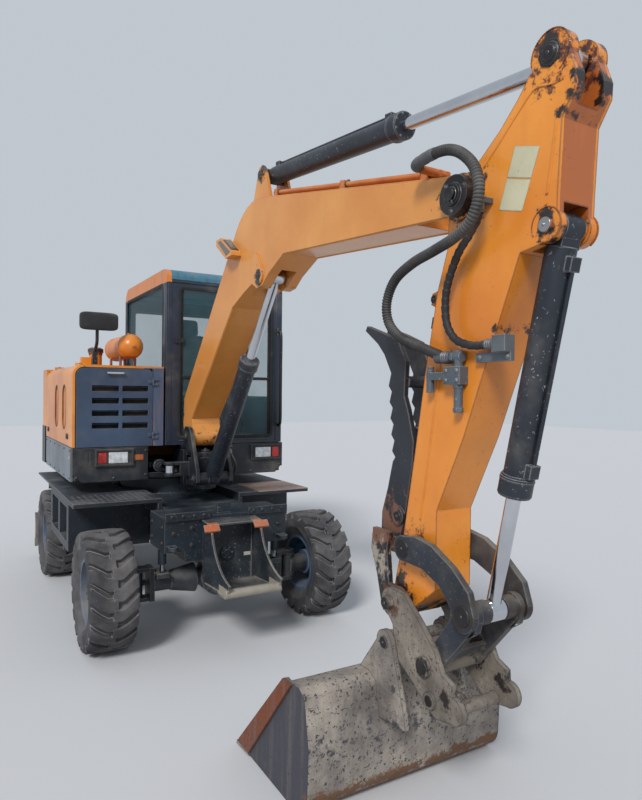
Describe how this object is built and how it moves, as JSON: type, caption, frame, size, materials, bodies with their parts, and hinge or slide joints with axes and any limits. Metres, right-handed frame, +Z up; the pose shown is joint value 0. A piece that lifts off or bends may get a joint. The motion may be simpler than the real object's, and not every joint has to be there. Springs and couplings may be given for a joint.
{
  "type": "wheeled excavator",
  "caption": "Small wheeled excavator with offset cab, swing boom, arm, quick coupler, wide bucket, thumb and rear dozer blade.",
  "frame": {"origin": "on the ground under the slew axis", "axes": "+Z up, -Y towards the bucket in front, +X towards the machine's left, where the cab is"},
  "size_m": [1.942, 6.084, 3.2536],
  "materials": {
    "chassis_paint": "worn dark blue-grey paint with dust",
    "tyre": "dusty rubber with worn lug edges",
    "rim_paint": "chalky slate-blue paint",
    "cylinder_paint": "dark paint, chipped at the collars",
    "chromed_rod": "polished rod with a little oil",
    "dark_paint": "dusty black-blue paint",
    "grey_paint": "dull grey paint, scuffed",
    "orange_paint": "faded orange-yellow paint",
    "blue_paint": "faded slate-blue paint",
    "engine_iron": "plain casting",
    "lamp_glass": "clear lens",
    "cab_paint": "dark slate paint, dusty",
    "glass": "slightly green, dusty",
    "black_plastic": "plain black",
    "hose_rubber": "ribbed black hose, dusty",
    "link_paint": "dark paint worn to metal at the edges",
    "worn_steel": "mud-polished steel with rust"
  },
  "bodies": {
    "chassis": {"frame": "chassis_paint", "slew_tower": "chassis_paint", "front_axle": "chassis_paint", "rear_axle": "chassis_paint", "bucket_rest": "chassis_paint", "side_boxes": "chassis_paint"},
    "knuckle_left": {"knuckle_left": "chassis_paint"},
    "knuckle_right": {"knuckle_right": "chassis_paint"},
    "tie_rod": {"tie_rod": "chassis_paint"},
    "wheel_front_left": {"tyre_front_left": "tyre", "rim_front_left": "rim_paint"},
    "wheel_front_right": {"tyre_front_right": "tyre", "rim_front_right": "rim_paint"},
    "wheel_rear_left": {"tyre_rear_left": "tyre", "rim_rear_left": "rim_paint"},
    "wheel_rear_right": {"tyre_rear_right": "tyre", "rim_rear_right": "rim_paint"},
    "blade": {"blade": "chassis_paint"},
    "blade_barrel": {"blade_barrel": "cylinder_paint"},
    "blade_rod": {"blade_rod": "chromed_rod"},
    "upper": {"upper_frame": "dark_paint", "front_panels": "dark_paint", "side_skirts": "grey_paint", "counterweight": "dark_paint", "hood": "orange_paint", "engine": "engine_iron", "hood_fittings": "orange_paint", "lamps": "lamp_glass", "cab": "cab_paint", "cab_glass": "glass", "cab_interior": "black_plastic", "cab_rails": "black_plastic"},
    "side_cover": {"side_cover": "orange_paint"},
    "grille_door": {"grille_door": "blue_paint"},
    "rear_hood": {"rear_hood": "orange_paint"},
    "cab_door": {"cab_door": "cab_paint", "door_glass": "glass"},
    "swing_post": {"swing_post": "dark_paint", "post_hoses": "hose_rubber"},
    "swing_barrel": {"swing_barrel": "cylinder_paint"},
    "swing_rod": {"swing_rod": "chromed_rod"},
    "boom": {"boom": "orange_paint", "boom_pipes": "orange_paint"},
    "boom_barrel": {"boom_barrel": "cylinder_paint"},
    "boom_rod": {"boom_rod": "chromed_rod"},
    "arm_barrel": {"arm_barrel": "cylinder_paint"},
    "arm_rod": {"arm_rod": "chromed_rod"},
    "arm": {"arm": "orange_paint", "arm_pipes": "link_paint", "arm_hose_long": "hose_rubber", "arm_hose_short": "hose_rubber"},
    "bucket_barrel": {"bucket_barrel": "cylinder_paint"},
    "bucket_rod": {"bucket_rod": "chromed_rod"},
    "guide_links": {"guide_links": "link_paint"},
    "h_link": {"h_link": "link_paint"},
    "coupler": {"coupler": "worn_steel", "bucket": "worn_steel"},
    "thumb": {"thumb": "link_paint"},
    "thumb_barrel": {"thumb_barrel": "cylinder_paint"},
    "thumb_rod": {"thumb_rod": "chromed_rod"}
  },
  "joints": [
    {"name": "steering", "type": "hinge", "parent": "chassis", "child": "knuckle_left", "pos_m": [0.606, -1.25, 0.408], "axis": [0, 0, 1], "range_deg": [-30, 30]},
    {"name": "steering_right", "type": "hinge", "parent": "chassis", "child": "knuckle_right", "pos_m": [-0.606, -1.25, 0.408], "axis": [0, 0, 1], "range_deg": [-31, 31]},
    {"name": "track_rod_slide", "type": "slide", "parent": "chassis", "child": "tie_rod", "axis": [-1, 0, 0], "range_m": [-0.1, 0.1]},
    {"name": "wheel_front_left_spin", "type": "hinge", "parent": "knuckle_left", "child": "wheel_front_left", "pos_m": [0.8185, -1.25, 0.408], "axis": [1, 0, 0], "continuous": true},
    {"name": "wheel_front_right_spin", "type": "hinge", "parent": "knuckle_right", "child": "wheel_front_right", "pos_m": [-0.8185, -1.25, 0.408], "axis": [1, 0, 0], "continuous": true},
    {"name": "wheel_rear_left_spin", "type": "hinge", "parent": "chassis", "child": "wheel_rear_left", "pos_m": [0.8185, 0.855, 0.408], "axis": [1, 0, 0], "continuous": true},
    {"name": "wheel_rear_right_spin", "type": "hinge", "parent": "chassis", "child": "wheel_rear_right", "pos_m": [-0.8185, 0.855, 0.408], "axis": [1, 0, 0], "continuous": true},
    {"name": "blade_lift", "type": "hinge", "parent": "chassis", "child": "blade", "pos_m": [0, 1.25, 0.62], "axis": [1, 0, 0], "range_deg": [-20, 25]},
    {"name": "blade_cylinder_pivot", "type": "hinge", "parent": "chassis", "child": "blade_barrel", "pos_m": [0, 1.245, 0.82], "axis": [-1, 0, 0], "range_deg": [-18.96, 15.37]},
    {"name": "blade_cylinder_stroke", "type": "slide", "parent": "blade_barrel", "child": "blade_rod", "axis": [0, 0.5465, -0.8374], "range_m": [-0.0578, 0.0482]},
    {"name": "slew", "type": "hinge", "parent": "chassis", "child": "upper", "pos_m": [0, 0, 1.0305], "axis": [0, 0, 1], "continuous": true},
    {"name": "cab_door_hinge", "type": "hinge", "parent": "upper", "child": "cab_door", "pos_m": [0.927, 0.332, 2], "axis": [0, 0, 1], "range_deg": [0, 150]},
    {"name": "grille_door_hinge", "type": "hinge", "parent": "upper", "child": "grille_door", "pos_m": [-0.287, -0.528, 1.65], "axis": [0, 0, 1], "range_deg": [0, 95]},
    {"name": "side_cover_hinge", "type": "hinge", "parent": "upper", "child": "side_cover", "pos_m": [-0.831, 0.25, 1.999], "axis": [0, 1, 0], "range_deg": [0, 70]},
    {"name": "rear_hood_hinge", "type": "hinge", "parent": "upper", "child": "rear_hood", "pos_m": [0, 1.052, 2.001], "axis": [1, 0, 0], "range_deg": [0, 60]},
    {"name": "boom_swing", "type": "hinge", "parent": "upper", "child": "swing_post", "pos_m": [0.08, -0.77, 1.137], "axis": [0, 0, 1], "range_deg": [-50, 70]},
    {"name": "swing_cylinder_pivot", "type": "hinge", "parent": "upper", "child": "swing_barrel", "pos_m": [-0.22, 0.24, 1.156], "axis": [0, 0, 1], "range_deg": [-3.4, 4.35]},
    {"name": "swing_cylinder_stroke", "type": "slide", "parent": "swing_barrel", "child": "swing_rod", "axis": [0, -1, 0], "range_m": [-0.2323, 0.3213]},
    {"name": "boom_lift", "type": "hinge", "parent": "swing_post", "child": "boom", "pos_m": [0.08, -0.73, 1.41], "axis": [-1, 0, 0], "range_deg": [-56, 10]},
    {"name": "boom_cylinder_pivot", "type": "hinge", "parent": "swing_post", "child": "boom_barrel", "pos_m": [0.08, -0.93, 1.085], "axis": [-1, 0, 0], "range_deg": [-57.65, 11.12]},
    {"name": "boom_cylinder_stroke", "type": "slide", "parent": "boom_barrel", "child": "boom_rod", "axis": [0, -0.619, 0.7854], "range_m": [-0.3624, 0.0729]},
    {"name": "arm_swing", "type": "hinge", "parent": "boom", "child": "arm", "pos_m": [0.08, -3.905, 2.533], "axis": [1, 0, 0], "range_deg": [-80, 20]},
    {"name": "arm_cylinder_pivot", "type": "hinge", "parent": "boom", "child": "arm_barrel", "pos_m": [0.08, -1.99, 3.19], "axis": [-1, 0, 0], "range_deg": [-1.86, 4.45]},
    {"name": "arm_cylinder_stroke", "type": "slide", "parent": "arm_barrel", "child": "arm_rod", "axis": [0, -0.9928, -0.1202], "range_m": [-0.6829, 0.1782]},
    {"name": "bucket_tilt", "type": "hinge", "parent": "arm", "child": "coupler", "pos_m": [0.08, -3.534, 0.867], "axis": [1, 0, 0], "range_deg": [-60, 85]},
    {"name": "guide_link_pivot", "type": "hinge", "parent": "arm", "child": "guide_links", "pos_m": [0.08, -3.613, 1.118], "axis": [-1, 0, 0], "range_deg": [-60.34, 42.88]},
    {"name": "h_link_pivot", "type": "hinge", "parent": "guide_links", "child": "h_link", "pos_m": [0.08, -3.978, 0.94], "axis": [-1, 0, 0], "range_deg": [-25.49, 35.7]},
    {"name": "bucket_cylinder_pivot", "type": "hinge", "parent": "arm", "child": "bucket_barrel", "pos_m": [0.08, -4.289, 2.342], "axis": [-1, 0, 0], "range_deg": [-3.9, 3.05]},
    {"name": "bucket_cylinder_stroke", "type": "slide", "parent": "bucket_barrel", "child": "bucket_rod", "axis": [0, 0.2166, -0.9763], "range_m": [-0.2649, 0.3712]},
    {"name": "thumb_swing", "type": "hinge", "parent": "arm", "child": "thumb", "pos_m": [0.08, -3.534, 0.867], "axis": [1, 0, 0], "range_deg": [-70, 0]},
    {"name": "thumb_cylinder_pivot", "type": "hinge", "parent": "arm", "child": "thumb_barrel", "pos_m": [0.08, -3.693, 2.17], "axis": [-1, 0, 0], "range_deg": [-13.56, 1]},
    {"name": "thumb_cylinder_stroke", "type": "slide", "parent": "thumb_barrel", "child": "thumb_rod", "axis": [0, 0.2144, -0.9767], "range_m": [-0.01, 0.3428]}
  ],
  "couplings": [
    {"joint": "steering_right", "follows": "steering", "ratio": 1},
    {"joint": "track_rod_slide", "follows": "steering", "m_per_rad": 0.18144},
    {"joint": "blade_cylinder_pivot", "follows": "blade_lift", "ratio": -0.71853},
    {"joint": "blade_cylinder_stroke", "follows": "blade_lift", "m_per_rad": -0.10949},
    {"joint": "swing_cylinder_pivot", "follows": "boom_swing", "ratio": 0.0479},
    {"joint": "swing_cylinder_stroke", "follows": "boom_swing", "m_per_rad": 0.25477},
    {"joint": "boom_cylinder_pivot", "follows": "boom_lift", "ratio": 1.0116},
    {"joint": "boom_cylinder_stroke", "follows": "boom_lift", "m_per_rad": 0.3605},
    {"joint": "arm_cylinder_pivot", "follows": "arm_swing", "ratio": -0.04316},
    {"joint": "arm_cylinder_stroke", "follows": "arm_swing", "m_per_rad": 0.48192},
    {"joint": "guide_link_pivot", "follows": "bucket_tilt", "ratio": -0.69806},
    {"joint": "h_link_pivot", "follows": "bucket_tilt", "ratio": 0.40823},
    {"joint": "bucket_cylinder_pivot", "follows": "bucket_tilt", "ratio": -0.03414},
    {"joint": "bucket_cylinder_stroke", "follows": "bucket_tilt", "m_per_rad": 0.24344},
    {"joint": "thumb_cylinder_pivot", "follows": "thumb_swing", "ratio": 0.17939},
    {"joint": "thumb_cylinder_stroke", "follows": "thumb_swing", "m_per_rad": -0.27244}
  ]
}
